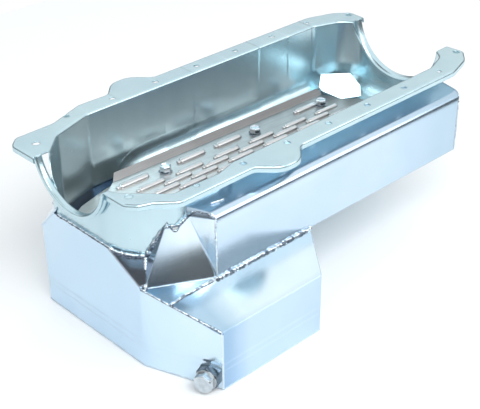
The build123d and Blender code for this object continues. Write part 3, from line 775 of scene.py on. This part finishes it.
def hoodPlaces():
    # one row of long hoods along the far edge, then rows that step back by half a pitch in turn
    places, sizes = [], []
    for x, length in tray["edgeHoods"]:
        places.append(onTray(x + length / 2, tray["edgeY"]))
        sizes.append((length / tray["hoodLength"], tray["edgeWidth"] / tray["hoodWidth"], tray["edgeRise"]))
    half = tray["hoodLength"] / 2
    alongGap, acrossGap = tray["screwGap"]
    for row in range(tray["rows"]):
        start = tray["firstX"] + tray["pitch"] / 2 * (row % 2) + tray["drift"] * row
        y = tray["firstY"] - row * tray["rowStep"]
        for i in range(tray["inRow"]):
            x = start + i * tray["pitch"] + half
            clear = all(abs(x - screwX) > half + alongGap or abs(y - tray["screwNearY"]) > acrossGap
                        for screwX in tray["screwX"])
            if clear and x + half < tray["frontX"] - tray["frontGap"]:
                places.append(onTray(x, y))
                sizes.append((1.0, 1.0, 1.0))
    return places, sizes


places, sizes = hoodPlaces()
hoods = repeatPart("trayHoods", hoodPattern(), places, sizes, finishes["tray_aluminium"],
                   tilt=trayTilt, turn=0.0, seed=tray["seed"])
draft = bmesh.new()
draft.from_mesh(hoods)
draft.from_mesh(trayPlate())
trayMesh = closeDraft(draft, bpy.data.meshes.new("windageTrayDressed"))
finishPiece(addPiece("windageTrayDressed", trayMesh), "tray_aluminium", "windage_tray")
print("tray built:", len(places), "hoods")


# screws and their lock washers
screw = {  # millimetres; each ring of the head as share of the corner radius, with its height or depth
    "acrossFlats": 12.0, "headHeight": 6.8, "headLift": 1.8, "bevel": 0.22,
    "foot": ((0.99, 0.0), (1.0, 0.3)),
    "crown": ((1.0, 1.1), (0.985, 0.9), (0.86, 0.15), (0.80, 0.0), (0.62, 1.3)),
    "shank": 3.0, "shankSides": 20, "shankLap": 0.5, "shankTop": 0.4,
    "longEdge": 3, "bevelFrom": 0.2, "trayGrip": 5.0, "baffleGrip": 8.0, "turn": 1.0, "seed": 4,
}
washer = {  # millimetres; profile from the hole to the rim
    "hole": 3.15, "foot": 0.05, "innerTop": 0.85, "outerTop": 0.75,
    "rim": 8.2, "notch": 0.7, "teeth": 8, "toothRise": 0.9, "turn": 0.6, "seed": 7,
}
baffle = {"z": -97.0, "x": (-252.32, -39.68), "y": (-25.2, 25.2), "seed": 9}


def joinRings(draft, first, second):
    count = len(first)
    for i in range(count):
        draft.faces.new((first[i], first[(i + 1) % count], second[(i + 1) % count], second[i]))


def closeSolid(draft, name):
    bmesh.ops.recalc_face_normals(draft, faces=draft.faces)
    for vert in draft.verts:
        vert.co *= mm
    return closeDraft(draft, bpy.data.meshes.new(name))


def hexScrew(grip):
    # chamfered hexagon head with a dished top and a plain shank
    draft = bmesh.new()
    corner = screw["acrossFlats"] / 2 / math.cos(math.radians(30))
    turns = [math.radians(60 * i) for i in range(6)]
    levels = list(screw["foot"])
    levels += [(share, screw["headHeight"] - depth) for share, depth in screw["crown"]]
    rings = []
    for share, z in levels:
        radius = corner * share
        rings.append([draft.verts.new((radius * math.cos(a), radius * math.sin(a), z)) for a in turns])
    for first, second in zip(rings, rings[1:]):
        joinRings(draft, first, second)
    draft.faces.new(rings[-1])
    draft.faces.new(list(reversed(rings[0])))
    depth = grip + screw["shankLap"]
    bmesh.ops.create_cone(draft, cap_ends=True, segments=screw["shankSides"], radius1=screw["shank"],
                          radius2=screw["shank"], depth=depth,
                          matrix=Matrix.Translation((0, 0, screw["shankTop"] - depth / 2)))
    headEdges = [edge for edge in draft.edges if edge.calc_length() > screw["longEdge"] and not edge.is_boundary
                 and all(vert.co.z > screw["bevelFrom"] for vert in edge.verts)]
    bmesh.ops.bevel(draft, geom=headEdges, offset=screw["bevel"], segments=2, affect="EDGES", clamp_overlap=True)
    return closeSolid(draft, "hexScrew")


def toothWasher():
    # spring washer with raised ratchet teeth round its rim
    draft = bmesh.new()
    rings = []
    count = washer["teeth"] * 2
    for i in range(count):
        angle = 2 * math.pi * i / count
        lift = washer["toothRise"] if i % 2 else 0.0
        outer = washer["rim"] if i % 2 else washer["rim"] - washer["notch"]
        profile = ((washer["hole"], washer["foot"]), (washer["hole"], washer["innerTop"]),
                   (outer, washer["outerTop"] + lift), (outer, washer["foot"]))
        rings.append([draft.verts.new((r * math.cos(angle), r * math.sin(angle), z)) for r, z in profile])
    for i in range(count):
        joinRings(draft, rings[i], rings[(i + 1) % count])
    return closeSolid(draft, "toothWasher")


def addFasteners(name, nodeName, part, places, tilt, turn, seed):
    slotName = slotOf[nodeName]
    mesh = repeatPart(name, part, places, [(1, 1, 1)] * len(places), finishes[slotName], tilt, turn, seed)
    finishPiece(addPiece(name, mesh), slotName, nodeName)


screwSpots = [(x, y) for x in tray["screwX"] for y in (tray["screwFarY"], tray["screwNearY"])]
screwPlaces = [onTray(x, y, screw["headLift"]) for x, y in screwSpots]
washerPlaces = [onTray(x, y) for x, y in screwSpots]
bafflePlaces = [Vector((x, y, baffle["z"])) * mm for x in baffle["x"] for y in baffle["y"]]
addFasteners("trayScrewsDressed", "tray_screws", hexScrew(screw["trayGrip"]), screwPlaces,
             tilt=trayTilt, turn=screw["turn"], seed=screw["seed"])
addFasteners("trayLockWashersDressed", "tray_lock_washers", toothWasher(), washerPlaces,
             tilt=trayTilt, turn=washer["turn"], seed=washer["seed"])
addFasteners("baffleScrewsDressed", "baffle_screws", hexScrew(screw["baffleGrip"]), bafflePlaces,
             tilt=0.0, turn=screw["turn"], seed=baffle["seed"])
print("screws built:", len(screwPlaces) + len(bafflePlaces))


# weld beads
welds = {  # centre line in millimetres, then width, height, ripple pitch and wander
    "rearSeam": (((-263.3, 33, -64.9), (-263.3, 6, -64.6), (-263.3, -28, -64.9), (-263, -54, -65.6),
                  (-260.8, -61, -67.6), (-253, -73, -70.0), (-241.4, -82.4, -72.0)), 4.2, 3.4, 1.9, 0.35),
    "reliefSeam": (((-241.4, -82.6, -72.0), (-237.5, -86.5, -62), (-232, -91.5, -50), (-226.3, -96.4, -39),
                    (-222.6, -100.3, -37.6), (-214.3, -104.2, -37.6), (-208, -104.6, -34.4),
                    (-202.8, -105.2, -31), (-199.5, -108.8, -27.2), (-196, -112, -24.6), (-190, -122, -25.6),
                    (-188.2, -128, -30)), 5.2, 4.2, 2.0, 0.6),
    "gussetSeam": (((-241.4, -82.6, -72.4), (-246.5, -89, -79.5), (-252, -96, -86.5), (-258, -101.6, -91),
                    (-262.4, -103.5, -93.6)), 4.6, 4.0, 1.9, 0.5),
    "sideSeam": (((-188.2, -130.2, -30), (-188.2, -130.2, -100.5)), 2.4, 2.0, 1.4, 0.2),
    "kickoutSeam": (((-188, -130.6, -101.5), (-150, -130.6, -101.5), (-50.5, -130.6, -101.5)), 5.0, 4.0, 2.2, 0.8),
    "reliefFootSeam": (((-187.5, -130.2, -101.9), (-212, -129.6, -101.6), (-232, -129.6, -101.6),
                        (-252, -131.1, -102.1)), 3.4, 2.4, 1.8, 0.5),
    "reliefLowSeam": (((-187.5, -129.4, -101.4), (-257.3, -103.0, -94.0)), 1.6, 1.3, 1.2, 0.12),
    "drainPanelSeam": (((-263.2, -101.8, -93.4), (-252.4, -131.3, -102.2), (-232.8, -183.3, -117.5)),
                       2.6, 2.2, 1.5, 0.3),
    "cornerSeam": (((-232, -184.0, -118.4), (-232, -184.0, -187.5)), 1.8, 1.4, 1.2, 0.12),
    "farSeam": (((-250, 61, -68.2), (-229.5, 79.6, -71.6), (-227, 82.2, -66.2), (-200, 91.2, -65.8),
                 (-176, 98.3, -65.6), (-160, 99.0, -65.6), (-28.6, 98.2, -65.6)), 3.6, 3.0, 1.8, 0.35),
    "frontSeam": (((-27.6, 94, -88), (-27.4, 84, -95.0), (-27.2, 72, -97.2), (-27.2, -66, -97.2),
                   (-28.4, -98, -99.0)), 3.6, 3.0, 1.8, 0.35),
    "capSeam": (((206.6, -97, -19.8), (206.6, -121, -24), (206.6, -127.6, -27.6), (206.6, -129.6, -34),
                 (206.6, -129.6, -100.6), (206.6, -70, -96.9)), 2.4, 2.0, 1.5, 0.2),
    "lipTacks": (((-180, -116.5, -21.6), (-168, -118.0, -21.8)), 3.2, 2.6, 2.4, 0.8),
    "floorSeam": (((-263.6, 66, -188.4), (-263.6, -99, -188.4), (-232, -184.0, -188.4), (-90, -184.0, -188.4),
                   (-28.4, -99.5, -188.4), (-28.4, 97, -188.4)), 1.4, 1.2, 1.1, 0.1),
}
toeShade = {  # painted shade: a dark strip along both sides of the wider beads stands in for the shade in the undercut at their toes, with some heat tint; measures are shares of the bead's own
    "width": 1.32, "height": 0.62, "pitch": 0.8, "wander": 0.5, "seedShift": 50,
    "beads": ("rearSeam", "reliefSeam", "gussetSeam", "kickoutSeam", "reliefFootSeam", "drainPanelSeam"),
}
firstBeadSeed = 12


def layBead(name, path, width, height, pitch, wander, metal, seed):
    guide = bpy.data.meshes.new(name)
    guide.from_pydata([Vector(p) * mm for p in path], [(i, i + 1) for i in range(len(path) - 1)], [])
    bead = builtMesh(name, guide, weldBead, {
        "Bead Width": width * mm, "Bead Height": height * mm, "Ripple Pitch": pitch * mm,
        "Wander": wander * mm, "Finish": metal, "Seed": seed})
    finishPiece(addPiece(name, bead), "zinc_sump", material=metal)
    return len(bead.polygons)


laid = 0
for seed, (name, (path, width, height, pitch, wander)) in enumerate(welds.items(), firstBeadSeed):
    laid += layBead(name, path, width, height, pitch, wander, weldMetal, seed)
    if name in toeShade["beads"]:
        laid += layBead(name + "Toe", path, width * toeShade["width"], height * toeShade["height"], pitch * toeShade["pitch"],
                        wander * toeShade["wander"], weldToeShade, seed + toeShade["seedShift"])
print("weld beads laid:", laid, "faces")


# camera
camera = {  # place in metres, three directions of the picture, then the lens in pixels of the image
    "place": (-0.81807, -0.83266, 0.55118),
    "right": (0.7249322, -0.6887195, -0.0117819),
    "down": (-0.3623591, -0.3667539, -0.8568474),
    "ahead": (0.5858065, 0.6254255, -0.5154355),
    "focalPixels": 1124.39,
    "centre": (236.134, 206.181),
    "image": (480, 409),
    "sensor": 36,
    "clipStart": 0.01,
}
camData = bpy.data.cameras.new("studioCamera")
camObject = addPiece("studioCamera", camData)
right, down, ahead = (Vector(camera[k]) for k in ("right", "down", "ahead"))
turn = Matrix((right, -down, -ahead)).transposed()
camObject.matrix_world = Matrix.Translation(camera["place"]) @ turn.to_4x4()
width, height = camera["image"]
camData.sensor_width = camera["sensor"]
camData.lens = camera["focalPixels"] * camera["sensor"] / width
camData.shift_x = (width / 2 - camera["centre"][0]) / width
camData.shift_y = (camera["centre"][1] - height / 2) / width
camData.clip_start = camera["clipStart"]
bpy.context.scene.camera = camObject


# floor, room and lights
studio = {  # metres and watts
    "floorZ": -0.1905, "floorReach": 0.85, "floorColour": (0.95, 0.96, 0.965), "floorRough": 0.9,
    "room": ((0.0, 0.6), (0.37, 0.30), (0.42, 0.02), (0.525, 0.015), (0.575, 0.25), (0.64, 0.86), (0.76, 1.05),
             (0.94, 1.2), (0.97, 0.3), (1.0, 0.03)),  # brightness by height, from straight down to straight up
    "roomTint": (0.96, 0.985, 1.0),
    "softbox": {"place": (-0.45, -1.05, 1.30), "aim": (0, 0, -0.1), "size": (1.2, 0.9), "power": 15.0},
    "sideFill": {"place": (0.9, -1.3, 0.75), "aim": (0.05, 0, -0.05), "size": (0.9, 0.7), "power": 5.0},
}


def makeFloor():
    reach = studio["floorReach"]
    corners = ((-reach, -reach), (reach, -reach), (reach, reach), (-reach, reach))
    mesh = bpy.data.meshes.new("floor")
    mesh.from_pydata([(x, y, studio["floorZ"]) for x, y in corners], [], [(0, 1, 2, 3)])
    floor = addPiece("floor", mesh)
    material, tree, shader, place = newMaterial("paleFloor", 0.0)
    shader.inputs["Base Color"].default_value = (*studio["floorColour"], 1)
    shader.inputs["Roughness"].default_value = studio["floorRough"]
    mesh.materials.append(material)
    arrange(tree)
    return floor


def makeRoom():
    # bright overhead, pale far side and a dark band at the level of the table edge, white to the camera
    world = bpy.data.worlds.new("studioRoom")
    bpy.context.scene.world = world
    world.use_nodes = True
    tree = world.node_tree
    tree.nodes.clear()
    direction = addNode(tree, "ShaderNodeTexCoord").outputs["Generated"]
    half = mathNode(tree, "MULTIPLY", splitPlace(tree, direction)["Z"], 0.5)
    ramp = addNode(tree, "ShaderNodeValToRGB")
    while len(ramp.color_ramp.elements) < len(studio["room"]):
        ramp.color_ramp.elements.new(0.5)
    for element, (level, value) in zip(ramp.color_ramp.elements, studio["room"]):
        element.position = level
        element.color = (*(value * tint for tint in studio["roomTint"]), 1)
    lit = addNode(tree, "ShaderNodeBackground")
    seen = setInputs(addNode(tree, "ShaderNodeBackground"), Color=(1, 1, 1, 1))
    rays = addNode(tree, "ShaderNodeLightPath")
    mix = addNode(tree, "ShaderNodeMixShader")
    surface = addNode(tree, "ShaderNodeOutputWorld").inputs["Surface"]
    wire(tree, (mathNode(tree, "ADD", half, 0.5), ramp.inputs[0]), (ramp.outputs[0], lit.inputs["Color"]),
         (rays.outputs["Is Camera Ray"], mix.inputs[0]), (lit.outputs[0], mix.inputs[1]),
         (seen.outputs[0], mix.inputs[2]), (mix.outputs[0], surface))
    arrange(tree)


def areaLight(name, place, aim, size, power):
    data = bpy.data.lights.new(name, "AREA")
    data.shape = "RECTANGLE"
    data.size, data.size_y = size
    data.energy = power
    light = addPiece(name, data)
    light.location = place
    light.rotation_euler = (Vector(aim) - Vector(place)).to_track_quat("-Z", "Y").to_euler()


floor = makeFloor()
makeRoom()
areaLight("softbox", **studio["softbox"])
areaLight("sideFill", **studio["sideFill"])
bpy.context.scene.view_settings.view_transform = "Standard"
bpy.context.scene.cycles.glossy_bounces = 8
print("studio ready")
